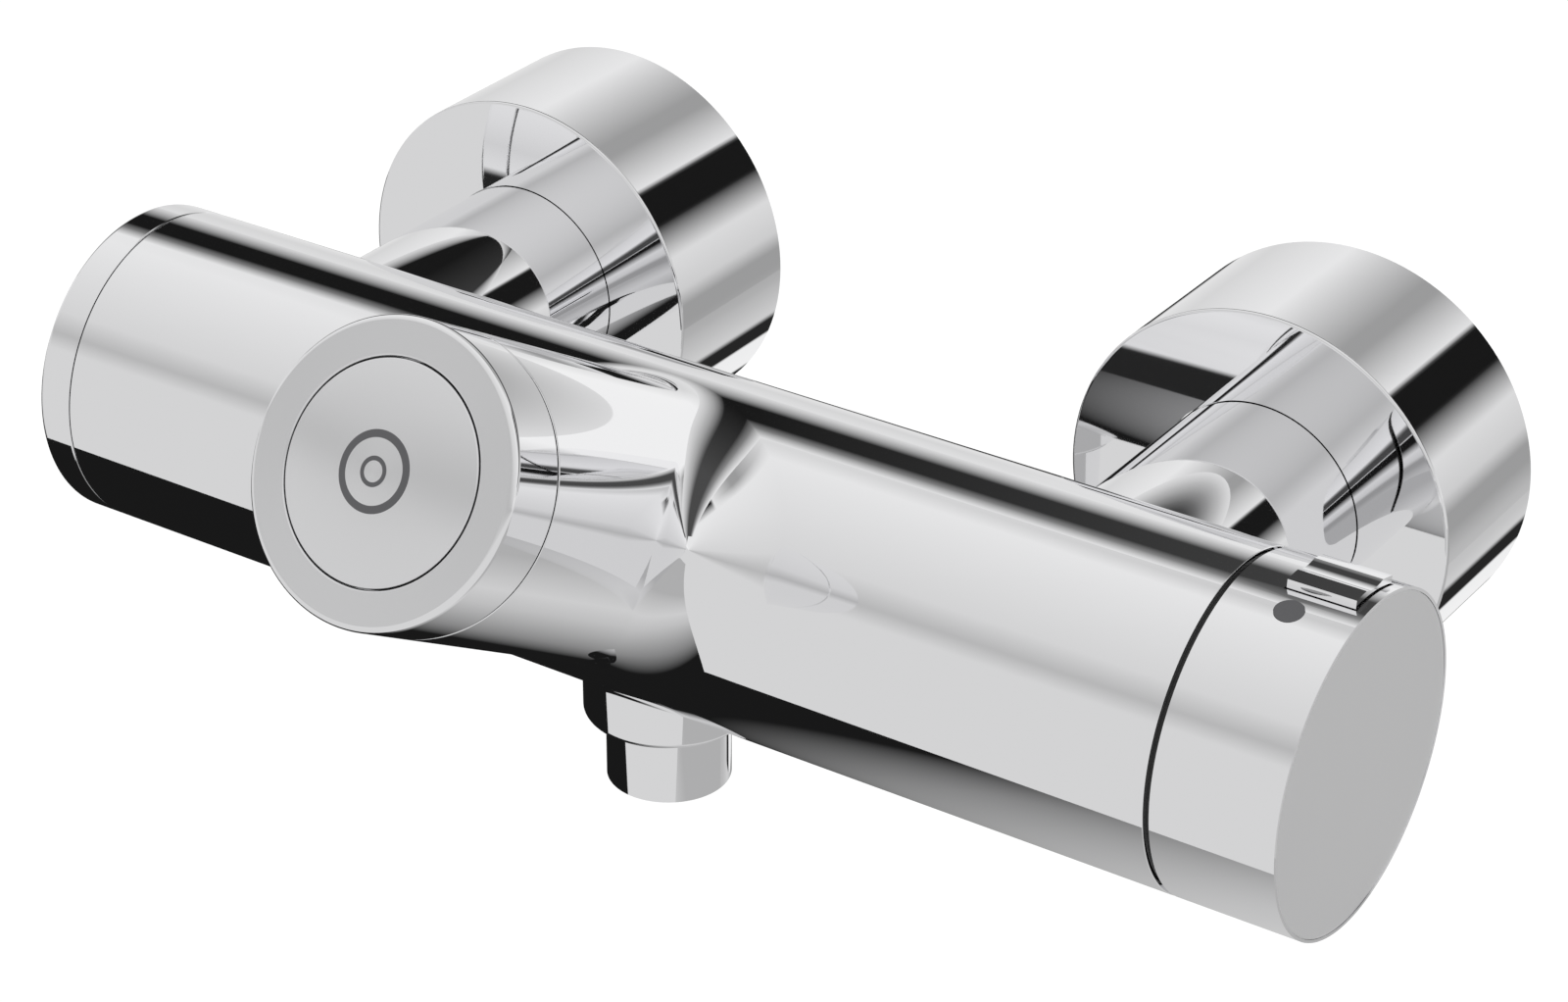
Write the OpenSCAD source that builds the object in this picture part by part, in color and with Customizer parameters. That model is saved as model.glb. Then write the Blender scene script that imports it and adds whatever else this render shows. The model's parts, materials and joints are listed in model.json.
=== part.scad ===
/* [Wall connections] */
// Distance between the two wall inlets
inlet_spacing = 150; // [144:0.5:180]
// Distance from the wall to the axis of the tube
tube_reach = 92.5; // [90:0.5:110]
// How far each union's wall thread lies above its valve thread
union_offset = 12.5; // [8:0.5:14]
// Outer diameter of the wall thread
wall_thread_d = 20.955; // [20:0.005:22]
// Length of the wall thread
wall_thread_l = 14; // [10:0.5:20]
// Bore of the wall union
union_bore_d = 13; // [10:0.5:14]
// Outer diameter of the union's valve thread
union_thread_d = 26.44; // [26:0.01:27]
// Length of the union's valve thread
union_thread_l = 9; // [8:0.5:11]
// Outer diameter of a rosette
rosette_d = 69.6; // [66:0.2:80]
// Depth of a rosette
rosette_depth = 31.2; // [30:0.1:34]
// Wall of a rosette
rosette_wall = 1.6; // [1:0.1:2]
// Outer diameter of the body's inlet spigots
spigot_d = 37.4; // [37.4:0.1:42]

/* [Tube body] */
// Outer diameter of the tube
tube_d = 55; // [54:0.5:62]
// Length of the tube past each inlet
end_overhang = 30; // [29:0.5:36]
// Length of the left end cap
left_cap_l = 6.7; // [5:0.1:12]
// Rounding of the end edges
edge_round = 1; // [0.5:0.1:1.5]
// Width of the fine seams between fixed covers
seam = 0.3; // [0.2:0.05:0.5]

/* [Boss and push button] */
// Tilt of the boss above the horizontal
boss_tilt = 30.7; // [24:0.1:36]
// Outer diameter of the boss
boss_d = 46.8; // [46:0.2:50]
// Distance from the tube axis to the seam behind the bezel
boss_l = 70.9; // [70:0.1:80]
// Length of the bezel in front of the seam
bezel_l = 11.5; // [9.5:0.1:16]
// Diameter of the push button
button_d = 33.8; // [32:0.2:35]
// Height of the button's domed face
dome_h = 1.8; // [1:0.1:3]
// Travel of the push button
button_travel = 5; // [3:0.5:5]
// Outer diameter of the large ring mark
mark_d = 12.4; // [10:0.2:16]
// Outer diameter of the small ring mark
small_mark_d = 4.6; // [3:0.2:6]

/* [Outlet] */
// Outer diameter of the outlet collar
collar_d = 28.4; // [26:0.2:32]
// Distance from the tube axis to the collar's lower face
collar_drop = 33.2; // [33:0.1:40]
// Outer diameter of the outlet thread
outlet_d = 20.955; // [20:0.005:22]
// Length of the outlet thread below the collar
outlet_l = 12.5; // [10:0.5:16]
// Bore of the outlet nipple
outlet_bore_d = 13; // [10:0.5:14]

/* [Temperature handle] */
// Length of the handle
handle_l = 20.5; // [19.5:0.5:30]
// Width of the gap between body and handle
handle_gap = 1; // [0.8:0.1:1.5]
// Wall of the handle
handle_wall = 3; // [2:0.1:3.2]
// Angle of the stop button, up from the front
stop_angle = 96; // [80:1:110]
// Width of the stop button around the handle
stop_w = 11.6; // [9:0.1:13]
// Length of the stop button along the handle
stop_l = 11.2; // [9:0.1:11.2]
// How far the stop button stands out
stop_rise = 1.4; // [1:0.1:2]
// Travel of the stop button
stop_travel = 2; // [1:0.5:2]
// Angle of the index dot, up from the front
dot_angle = 74.5; // [60:0.5:76]
// Diameter of the index dot
dot_d = 4.6; // [3:0.1:5]

/* [Hidden] */
$fn = 96;

// Clearances and small sizes shared by many pieces
cut = 1;
fit = 0.05;
loose = 0.3;
slack = 0.1;
o_ring_cord = 1.8;
brass = "goldenrod";
chrome = "silver";
black = "dimgray";

// The wall plane is y = 0 and the origin lies midway between the wall inlets
inlet_x = inlet_spacing/2;
axis_z = -union_offset;
tube_r = tube_d/2;
body_left = inlet_x + end_overhang;
body_right = body_left - (handle_gap - seam);

// Distances from the wall along each inlet
union_flange_t = 5;
union_body_t = 12;
union_end_t = union_body_t + union_thread_l;
washer_h = 2;
nipple_t = union_end_t + washer_h;
nipple_flange_h = 3;
nut_lip_h = 2.1;
nut_end_t = nipple_t + nipple_flange_h + nut_lip_h + slack;
spigot_tuck = 0.5;
spigot_t = rosette_depth - rosette_wall - spigot_tuck;
nipple_thread_l = 13.3;
nipple_end_t = spigot_t + nipple_thread_l;
cage_seat_h = 3.5;
spider_h = 2;
poppet_h = 2;
check_travel = 3;
check_spring_short_l = 7.4;
cage_l = cage_seat_h + slack + poppet_h + check_travel + check_spring_short_l + spider_h;
cage_end_t = nipple_end_t + slack + cage_l;
nipple_thread_r = 10.45;
nipple_bore_r = 7;
nipple_flange_r = 12;
union_hex = 27;
union_body_r = 14;
union_nut_hex = 32;
cage_r = 9.1;
cage_bore_r = 7.5;
passage_r = 6.5;

// Bores of the tube
hot_chamber_r = 21;
hot_chamber_past = 15;
hot_chamber_l = end_overhang + hot_chamber_past;
thermo_bore_r = 17;
thermo_bore_l = 56;
gland_bore_r = 20;
port_hot = -24.3;
flange_past = 9;
flange_x = inlet_x + flange_past;
gland_depth = body_right - flange_x;
thermo_end_x = flange_x - thermo_bore_l;
hot_channel_r = 3.5;
hot_channel_offset = 22.5;
hot_channel_angle = 225;
hot_channel_l = flange_x + port_hot - hot_chamber_l + body_left;
mix_passage_r = 5.5;

// Distances along the boss from the tube axis
boss_r = boss_d/2;
cartridge_r = 15;
seat_d = 7;
seat_washer_h = 3.5;
washer_carrier_h = 2;
washer_top_d = seat_d - slack;
washer_low_d = washer_top_d - seat_washer_h;
plunger_low_d = washer_low_d - washer_carrier_h;
chamber_gap = 2.4;
lower_chamber_r = 11;
lower_chamber_l = button_travel + chamber_gap - plunger_low_d;
seat_r = 6;
seat_wall = 4;
window_d = 12;
window_w = 6;
window_groove_r = 17.5;
head_bore_r = 20;
housing_bore_r = 12;
housing_flange_h = 2;
timing_nut_h = 4;
guide_d = 20;
guide_h = 2;
timing_spring_l = 14;
piston_d = guide_d + guide_h + timing_spring_l;
piston_h = 4.5;
stem_r = 3;
bezel_thread_l = 9.5;
bezel_back_d = boss_l - bezel_thread_l;
bezel_rest = 1.4;
nut_top_d = bezel_back_d - bezel_rest;
shoulder_d = nut_top_d - timing_nut_h - housing_flange_h;
press_gap = 1;
hub_d = nut_top_d + press_gap + button_travel;
hub_bore_l = 2;
stem_end_d = hub_d + hub_bore_l;
hub_r = 5;
head_r = head_bore_r - slack;
bezel_front_d = boss_l + bezel_l;
bezel_skirt_bore_r = 17.8;
button_gap = 0.25;
button_r = button_d/2;
button_plate_h = 3;
button_lip_h = 1.9;
button_lip_rise = 1.1;
button_lip_d = boss_l + button_lip_rise;
dome_r = (button_r*button_r + dome_h*dome_h)/(2*dome_h);
mark_w = 1.2;
small_mark_w = 0.7;
mark_depth = 0.4;

// Return passage from the timing cartridge to the outlet
return_x = 22;
return_drop = 19.5;
return_r = 3.8;
return_wide_r = 4.5;
window_middle_d = window_d + window_w/2;
return_y = window_middle_d*cos(boss_tilt) - return_r;
return_top = window_middle_d*sin(boss_tilt);
outlet_seat_drop = 24;
outlet_ring_step = 1;
outlet_stem_r = 9.8;
regulator_h = 5;

// The thermostat's own frame starts at its flange shoulder, towards the handle
port_cold = -13.8;
port_w = 4.2;
hot_groove_r = 21;
hot_groove_w = 6;
sleeve_back = -25.7;
sleeve_front = -12.3;
sleeve_r = 11.5;
sleeve_land_r = 12.9;
sleeve_bore_r = 9.6;
seat_ring_h = 2;
sleeve_lift = 1.4;
thermo_r = 16.95;
thermo_inner_r = 13;
thermo_flange_h = 4;
web_h = 2;
wax_r = 5;
rod_r = 2.4;
wax_collar_r = 7;
rod_end = -4;
nut_r = 10;
nut_l = 11.8;
thread_r = 5;
nut_room = 0.8;
spindle_collar_z = rod_end + nut_l + nut_room;
spindle_collar_h = 2.5;
spindle_collar_r = 9.5;
spindle_r = 6;
gland_rest = 4.3;
gland_l = gland_depth - gland_rest;
spline_r = 5;
handle_z = gland_depth + handle_gap;
spindle_reach = 5.2;
spindle_end = handle_z + spindle_reach;

// The handle's own frame starts at its inner edge, towards its end
handle_inner_r = tube_r - handle_wall;
disc_h = 1.5;
rim_w = 0.5;
adaptor_web_z = 4;
adaptor_web_h = 3;
adaptor_hub_r = 8.5;
adaptor_back = -1.5;
handle_end_wall = 1;
stop_z = handle_l - disc_h - loose - stop_l/2;
handle_x = body_right + handle_gap;
seam_ring_h = 1.5;
pocket_depth = 0.4;

// Frames of the tube, the boss, the inlets and the outlet
module on_axis() translate([0, -tube_reach, axis_z]) children();
module on_tube(x = 0) on_axis() translate([x, 0, 0]) rotate([0, 90, 0]) children();
module on_angle(angle, x = 0) on_axis() translate([x, 0, 0]) rotate([90 - angle, 0, 0]) children();
module on_boss() on_angle(boss_tilt) children();
module on_inlet(side) translate([side*inlet_x, 0, axis_z]) rotate([90, 0, 0]) children();
module on_outlet() on_axis() rotate([180, 0, 0]) children();
module on_cartridge() on_tube(flange_x) children();
module on_handle() on_tube(handle_x) children();
module on_stop() on_angle(stop_angle, handle_x + stop_z) children();

// Turned shapes along z, from one height to another
module rod(r, from, to) translate([0, 0, from]) cylinder(r = r, h = to - from);
module ring(outer, inner, from, to) difference() {
  rod(outer, from, to);
  rod(inner, from - cut, to + cut);
}
module rounded_rod(r, from, to, round) {
  rod(r - round, from, to);
  rod(r, from, to - round);
  translate([0, 0, to - round]) rotate_extrude() translate([r - round, 0]) circle(r = round, $fn = 48);
}
module o_ring(inner, at) {
  translate([0, 0, at]) rotate_extrude() translate([inner + o_ring_cord/2, 0])
    circle(d = o_ring_cord, $fn = 32);
}
module hexagon(across, from, to) {
  translate([0, 0, from]) cylinder(d = across/cos(30), h = to - from, $fn = 6);
}

// Coil of round wire between two heights, as one swept tube
coil_rings = 8;
coil_sides = 6;
function coil_point(i, k, r, wire, low, rise) = let(
  turn = 360*i/coil_rings,
  round = 360*k/coil_sides,
  out = r + wire*cos(round)
) [out*cos(turn), out*sin(turn), low + wire + rise*i/coil_rings + wire*sin(round)];
module spring(name, r, wire, from, to, turns) {
  last = turns*coil_rings;
  rise = (to - from - 2*wire)/turns;
  points = [
    for (i = [0:last]) for (k = [0:coil_sides - 1]) coil_point(i, k, r, wire, from, rise)
  ];
  sides = [
    for (i = [0:last - 1]) for (k = [0:coil_sides - 1]) let(
      a = i*coil_sides + k,
      b = i*coil_sides + (k + 1)%coil_sides
    ) each [[a, a + coil_sides, b], [b, a + coil_sides, b + coil_sides]]
  ];
  first = [for (k = [1:coil_sides - 2]) [0, k, k + 1]];
  end = last*coil_sides;
  final = [for (k = [1:coil_sides - 2]) [end, end + k + 1, end + k]];
  echo(str(name, " least gap between curls ", rise - 2*wire));
  polyhedron(points = points, faces = concat(sides, first, final), convexity = 8);
}

// Body of the valve, with its bores, seats and water passages
module valve_body() color(chrome) difference() {
  union() {
    on_tube() rod(tube_r, -body_left, body_right);
    on_boss() rod(boss_r, 0, boss_l);
    for (side = [-1, 1]) on_inlet(side) rod(spigot_d/2, spigot_t, tube_reach);
    on_outlet() rounded_rod(collar_d/2, 0, collar_drop, edge_round);
  }
  tube_bores();
  boss_bores();
  outlet_passages();
  for (side = [-1, 1]) on_inlet(side) inlet_bores();
}

module tube_bores() {
  on_tube() rod(hot_chamber_r, -body_left - cut, hot_chamber_l - body_left);
  on_tube() rod(thermo_bore_r, thermo_end_x, body_right);
  on_tube() rod(gland_bore_r, flange_x, body_right + cut);
  on_tube() rod(tube_r - 2*rim_w, body_right - seam_ring_h, body_right + cut);
  on_cartridge() rod(hot_groove_r, port_hot - hot_groove_w/2, port_hot + hot_groove_w/2);
  on_tube() rod(mix_passage_r, 0, thermo_end_x + cut);
  on_angle(hot_channel_angle, hot_chamber_l - body_left - cut) translate([0, 0, hot_channel_offset])
    rotate([0, 90, 0]) cylinder(r = hot_channel_r, h = hot_channel_l + cut);
}

module boss_bores() on_boss() {
  rod(lower_chamber_r, -lower_chamber_l, seat_d + slack);
  rod(cartridge_r, seat_d, shoulder_d + cut);
  rod(window_groove_r, window_d - cut, window_d + window_w + cut);
  rod(head_bore_r, shoulder_d, boss_l + cut);
}

module outlet_passages() {
  on_outlet() rod(outlet_bore_d/2, return_drop - return_wide_r, outlet_seat_drop + cut);
  on_outlet() rod(outlet_stem_r + fit, outlet_seat_drop, collar_drop + cut);
  on_boss() translate([-return_x, 0, window_middle_d]) rotate([0, 90, 0])
    cylinder(r = return_wide_r, h = return_x - cartridge_r + cut);
  on_axis() translate([-return_x, -return_y, -return_drop])
    cylinder(r = return_wide_r, h = return_drop + return_top + slack);
  on_axis() translate([-return_x, -return_y, -return_drop]) rotate([0, 0, atan2(return_y, return_x)])
    rotate([0, 90, 0]) cylinder(r = return_r, h = norm([return_x, return_y]));
}

module inlet_bores() {
  rod(nipple_thread_r + fit, spigot_t - cut, nipple_end_t);
  rod(cage_r + fit, nipple_end_t - cut, cage_end_t);
  rod(passage_r, cage_end_t - cut, tube_reach - thermo_bore_r + cut);
}

// Plug that closes the hot chamber at the left end
plug_l = 9;
plug_groove_w = 2.4;
plug_r = hot_chamber_r - fit;
module end_cap() color(chrome) on_tube(-body_left) rotate([180, 0, 0]) difference() {
  union() {
    rounded_rod(tube_r, seam, seam + left_cap_l, edge_round);
    rod(plug_r, -plug_l, seam + cut);
  }
  ring(tube_r, plug_r - o_ring_cord, -plug_l/2 - plug_groove_w/2, -plug_l/2 + plug_groove_w/2);
  rod(plug_r - 2*o_ring_cord, -plug_l - cut, -cut);
}
module end_cap_o_ring() color(black) on_tube(-body_left) rotate([180, 0, 0])
  o_ring(plug_r - o_ring_cord, -plug_l/2);

// Eccentric wall union, with its wall thread above its valve thread
union_wall_r = union_bore_d/2;
union_mouth_r = 7.5;
union_wall_t = 3.2;
module wall_union(side) color(brass) on_inlet(side) difference() {
  union() {
    translate([0, union_offset, 0]) {
      rod(wall_thread_d/2, -wall_thread_l, cut);
      hexagon(union_hex, 0, union_flange_t);
    }
    translate([0, 0, union_flange_t]) linear_extrude(union_body_t - union_flange_t) {
      circle(r = union_body_r);
      translate([-union_body_r, 0]) square([2*union_body_r, union_offset]);
      translate([0, union_offset]) circle(r = union_body_r);
    }
    rod(union_thread_d/2, union_body_t - cut, union_end_t);
  }
  translate([0, union_offset, 0]) rod(union_wall_r, -wall_thread_l - cut, union_body_t - union_wall_t);
  rod(union_mouth_r, union_flange_t + union_wall_t/2, union_end_t + cut);
}
module wall_union_left() wall_union(-1);
module wall_union_right() wall_union(1);

// Deep cylindrical cover over each union
module rosette(side) color(chrome) on_inlet(side) difference() {
  rounded_rod(rosette_d/2, 0, rosette_depth, edge_round/2);
  rod(rosette_d/2 - rosette_wall, -cut, rosette_depth - rosette_wall);
  rod(spigot_d/2 + seam/2, 0, rosette_depth + cut);
}
module rosette_left() rosette(-1);
module rosette_right() rosette(1);

// Nut that draws the nipple's flange against the wall union
module union_nut(side) color(brass) on_inlet(side) difference() {
  hexagon(union_nut_hex, union_body_t + slack, nut_end_t);
  rod(union_thread_d/2 + fit, 0, nut_end_t - nut_lip_h);
  rod(nipple_thread_r + loose, 0, nut_end_t + cut);
}
module union_nut_left() union_nut(-1);
module union_nut_right() union_nut(1);

// Rubber washer with a strainer plate across its bore
strainer_h = 0.6;
strainer_holes = 7;
strainer_hole_r = 1.1;
strainer_circle_r = 4.2;
module filter_washer(side) color(black) on_inlet(side) difference() {
  rod(nipple_flange_r, union_end_t, nipple_t);
  rod(nipple_bore_r, union_end_t - cut, union_end_t + washer_h/2 - strainer_h/2);
  rod(nipple_bore_r, union_end_t + washer_h/2 + strainer_h/2, nipple_t + cut);
  rod(strainer_hole_r, union_end_t, nipple_t);
  for (i = [1:strainer_holes]) rotate([0, 0, 360*i/strainer_holes])
    translate([strainer_circle_r, 0, 0]) rod(strainer_hole_r, union_end_t, nipple_t);
}
module filter_washer_left() filter_washer(-1);
module filter_washer_right() filter_washer(1);

module inlet_nipple(side) color(brass) on_inlet(side) difference() {
  union() {
    rod(nipple_flange_r, nipple_t, nipple_t + nipple_flange_h);
    rod(nipple_thread_r, nipple_t, nipple_end_t);
  }
  rod(nipple_bore_r, nipple_t - cut, nipple_end_t + cut);
}
module inlet_nipple_left() inlet_nipple(-1);
module inlet_nipple_right() inlet_nipple(1);

// Check valve in each inlet: a cage, a sprung poppet and its spring
cage_seat_r = 5.2;
spider_hub_r = 3;
spider_arm_w = 2;
poppet_r = 6.5;
poppet_stem_r = 1.5;
check_spring_r = 4.2;
check_wire_r = 0.4;
cage_t = nipple_end_t + slack;
poppet_t = cage_t + cage_seat_h + slack;
module check_valve_cage(side) color("white") on_inlet(side) {
  ring(cage_r, cage_bore_r, cage_t, cage_end_t);
  ring(cage_r, cage_seat_r, cage_t, cage_t + cage_seat_h);
  ring(spider_hub_r, poppet_stem_r + fit, cage_end_t - spider_h, cage_end_t);
  for (angle = [0:120:240]) rotate([0, 0, angle])
    translate([spider_hub_r - slack, -spider_arm_w/2, cage_end_t - spider_h])
      cube([(cage_bore_r + cage_r)/2 - spider_hub_r + slack, spider_arm_w, spider_h]);
}
module check_valve_cage_left() check_valve_cage(-1);
module check_valve_cage_right() check_valve_cage(1);

module check_valve_poppet(side) color("ivory") on_inlet(side) {
  rod(poppet_r, poppet_t, poppet_t + poppet_h);
  rod(cage_seat_r - loose, cage_t + cage_seat_h/2, poppet_t + cut);
  rod(poppet_stem_r, poppet_t + cut, cage_end_t + slack);
}
module check_valve_poppet_left() check_valve_poppet(-1);
module check_valve_poppet_right() check_valve_poppet(1);

check_spring_turns = 5;
check_spring_low = poppet_t + poppet_h + fit;
check_spring_high = cage_end_t - spider_h - fit;
module check_valve_spring(side) color("gray") on_inlet(side) spring("check valve spring",
  check_spring_r, check_wire_r, check_spring_low, check_spring_high, check_spring_turns);
module check_valve_spring_left() check_valve_spring(-1);
module check_valve_spring_right() check_valve_spring(1);

// Threaded outlet for the shower hose
outlet_end_drop = collar_drop + outlet_l;
module outlet_nipple() color(chrome) on_outlet() difference() {
  union() {
    rod(outlet_stem_r, outlet_seat_drop + o_ring_cord, collar_drop + cut);
    rod(outlet_d/2, collar_drop, outlet_end_drop);
  }
  rod(outlet_bore_d/2, outlet_seat_drop, outlet_end_drop + cut);
}
module outlet_o_ring() color(black) on_outlet()
  o_ring(outlet_bore_d/2 + outlet_ring_step, outlet_seat_drop + o_ring_cord/2);
module flow_regulator() color("white") on_outlet() translate([0, 0, outlet_end_drop]) difference() {
  rod(outlet_bore_d/2 - fit, -2*regulator_h, -regulator_h);
  for (i = [1:strainer_holes]) rotate([0, 0, 360*i/strainer_holes])
    translate([strainer_circle_r, 0, 0]) rod(strainer_hole_r, -3*regulator_h, 0);
}

// Self-closing cartridge in the boss
o_ring_groove_w = 2.2;
o_ring_groove_r = cartridge_r - fit - o_ring_cord;
low_ring_d = seat_d + seat_wall/2 - slack;
high_ring_d = window_d + window_w + 2*o_ring_groove_w;
housing_top_d = shoulder_d + housing_flange_h;
module timing_housing() color(brass) on_boss() difference() {
  union() {
    rod(cartridge_r - fit, seat_d, shoulder_d + slack);
    rod(head_r, shoulder_d, housing_top_d);
  }
  rod(seat_r, seat_d - cut, seat_d + seat_wall + cut);
  rod(housing_bore_r, seat_d + seat_wall, guide_d);
  rod(stem_r + fit, guide_d - cut, guide_d + guide_h + cut);
  rod(housing_bore_r, guide_d + guide_h, housing_top_d + cut);
  for (angle = [0, 90]) rotate([0, 0, angle])
    translate([-boss_r, -window_w/2, window_d]) cube([boss_d, window_w, window_w]);
  for (at = [low_ring_d, high_ring_d])
    ring(boss_r, o_ring_groove_r, at - o_ring_groove_w/2, at + o_ring_groove_w/2);
}
module timing_o_rings() color(black) on_boss() {
  o_ring(o_ring_groove_r, low_ring_d);
  o_ring(o_ring_groove_r, high_ring_d);
}
nut_hole_r = 1.5;
nut_hole_circle_r = 10.5;
module timing_nut() color(brass) on_boss() difference() {
  rod(head_r, housing_top_d, nut_top_d);
  rod(stem_r + fit, housing_top_d - cut, nut_top_d + cut);
  for (angle = [0, 180]) rotate([0, 0, angle])
    translate([nut_hole_circle_r, 0, 0]) rod(nut_hole_r, nut_top_d - timing_nut_h/2, nut_top_d + cut);
}

// Stem, piston and seat washer that travel with the push button
washer_overlap = 3;
washer_r = seat_r + washer_overlap;
seal_h = 2.5;
seal_middle_d = piston_d + piston_h/2;
seal_inner_r = housing_bore_r - 2*o_ring_cord;
module timing_plunger() color("darkgoldenrod") on_boss() difference() {
  union() {
    rod(washer_r, plunger_low_d, washer_low_d);
    rod(stem_r, plunger_low_d, stem_end_d);
    rod(housing_bore_r - loose, piston_d, piston_d + piston_h);
  }
  ring(housing_bore_r, seal_inner_r, seal_middle_d - seal_h/2, seal_middle_d + seal_h/2);
}
module plunger_seal() color(black) on_boss()
  ring(housing_bore_r - fit, seal_inner_r, seal_middle_d - seal_h/2, seal_middle_d + seal_h/2);
module seat_washer() color(black) on_boss() ring(washer_r, stem_r, washer_low_d, washer_top_d);
timing_wire_r = 0.6;
timing_spring_r = 8.5;
timing_turns = 5;
module timing_spring() color("gray") on_boss() spring("timing spring",
  timing_spring_r, timing_wire_r, guide_d + guide_h + fit, piston_d - fit, timing_turns);

// Fixed bezel that screws into the boss and holds the push button
module button_bezel() color(chrome) on_boss() difference() {
  union() {
    rounded_rod(boss_r, boss_l + seam, bezel_front_d, edge_round);
    rod(head_r, bezel_back_d, boss_l + seam + cut);
  }
  rod(button_r + button_gap, bezel_back_d - cut, bezel_front_d + cut);
  rod(bezel_skirt_bore_r, bezel_back_d - cut, button_lip_d + button_lip_h + slack);
}

// Domed push button with a hub that takes the stem
module push_button() color(chrome) difference() {
  on_boss() {
    intersection() {
      rod(button_r, bezel_front_d - button_plate_h, bezel_front_d + dome_h + cut);
      translate([0, 0, bezel_front_d + dome_h - dome_r]) sphere(r = dome_r);
    }
    ring(button_r, button_r - button_lip_h, button_lip_d, bezel_front_d - button_plate_h);
    ring(bezel_skirt_bore_r - loose, button_r - button_lip_h, button_lip_d, button_lip_d + button_lip_h);
    rod(hub_r, hub_d, bezel_front_d - button_plate_h);
  }
  on_boss() rod(stem_r + fit/2, hub_d - cut, stem_end_d + slack);
  mark_rings(slack);
}
module mark_rings(extra) on_boss() intersection() {
  union() {
    ring(mark_d/2, mark_d/2 - mark_w, bezel_front_d, bezel_front_d + dome_h + cut);
    ring(small_mark_d/2, small_mark_d/2 - small_mark_w, bezel_front_d, bezel_front_d + dome_h + cut);
  }
  difference() {
    translate([0, 0, bezel_front_d + dome_h - dome_r]) sphere(r = dome_r + extra);
    translate([0, 0, bezel_front_d + dome_h - dome_r]) sphere(r = dome_r - mark_depth);
  }
}
module button_mark() color(black) mark_rings(0);

// Thermostat cartridge in the right end of the tube
seat_back = sleeve_back - sleeve_lift;
seat_front = sleeve_front + sleeve_lift;
ports_middle = (port_cold + port_hot)/2;
thermo_end_gap = 1;
thermo_back = thermo_end_gap - thermo_bore_l;
thermo_groove_r = thermo_r - o_ring_cord;
front_ring_z = -o_ring_groove_w/2 - slack;
back_ring_z = port_hot - hot_groove_w/2 - 2*o_ring_groove_w;
thermo_rings = [front_ring_z, ports_middle, back_ring_z];
ledge_z = thermo_back + 2*thermo_flange_h;
ledge_hole_r = 2;
ledge_holes = 6;
key_w = 3;
key_reach = 1.5;
module thermostat_housing() color("white") on_cartridge() difference() {
  union() {
    rod(thermo_r, thermo_back, cut);
    rod(gland_bore_r - fit, 0, thermo_flange_h);
  }
  rod(thermo_inner_r, thermo_back - cut, ledge_z - web_h);
  rod(thermo_inner_r, ledge_z, seat_back - seat_ring_h);
  rod(sleeve_bore_r, ledge_z, seat_front + seat_ring_h + cut);
  rod(thermo_inner_r, seat_back, seat_front);
  rod(thermo_inner_r, seat_front + seat_ring_h, 0);
  rod(nut_r + slack, -cut, thermo_flange_h + cut);
  for (i = [1:ledge_holes]) rotate([0, 0, 360*i/ledge_holes])
    translate([(thermo_inner_r + rod_r)/2, 0, 0]) rod(ledge_hole_r, thermo_back, ledge_z + cut);
  for (at = [port_cold, port_hot]) for (angle = [0, 60, 120]) rotate([0, 0, angle])
    translate([-tube_r, -port_w, at - port_w/2]) cube([tube_d, 2*port_w, port_w]);
  for (at = thermo_rings)
    ring(tube_r, thermo_groove_r, at - o_ring_groove_w/2, at + o_ring_groove_w/2);
  nut_keys(slack*2, 0, thermo_flange_h + cut);
}
module nut_keys(extra, from, to) for (angle = [0, 180]) rotate([0, 0, angle])
  translate([nut_r - cut, -key_w/2 - extra, from])
    cube([cut + key_reach + extra, key_w + 2*extra, to - from]);
module thermostat_o_rings() color(black) on_cartridge()
  for (at = thermo_rings) o_ring(thermo_groove_r, at);

// Sleeve that the wax element slides between the hot seat and the cold seat
sleeve_holes = 10;
sleeve_hole_r = 1.2;
sleeve_hole_circle_r = 8.3;
module regulating_sleeve() color("ivory") on_cartridge() difference() {
  union() {
    rod(sleeve_r, sleeve_back, sleeve_front);
    rod(sleeve_land_r, ports_middle - web_h, ports_middle + web_h);
  }
  rod(sleeve_bore_r, sleeve_back - cut, ports_middle - web_h/2);
  rod(sleeve_bore_r, ports_middle + web_h/2, sleeve_front + cut);
  rod(rod_r + fit, sleeve_back, sleeve_front);
  for (i = [1:sleeve_holes]) rotate([0, 0, 360*i/sleeve_holes])
    translate([sleeve_hole_circle_r, 0, 0]) rod(sleeve_hole_r, sleeve_back, sleeve_front);
}

// Wax element, whose rod meets the adjusting nut, and the spring that presses it back
wax_l = 18;
wax_collar_z = ports_middle - web_h/2 - seat_ring_h;
regulating_wire_r = 0.6;
regulating_spring_gap = 0.8;
regulating_spring_r = wax_r + regulating_spring_gap + regulating_wire_r;
regulating_turns = 7;
module wax_element() color("peru") on_cartridge() {
  rod(wax_r, wax_collar_z - wax_l, wax_collar_z + fit);
  rod(wax_collar_r, wax_collar_z, wax_collar_z + seat_ring_h);
  rod(rod_r, wax_collar_z + cut, rod_end);
}
module regulating_spring() color("gray") on_cartridge() spring("regulating spring",
  regulating_spring_r, regulating_wire_r, ledge_z + fit, wax_collar_z - fit, regulating_turns);

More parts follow.
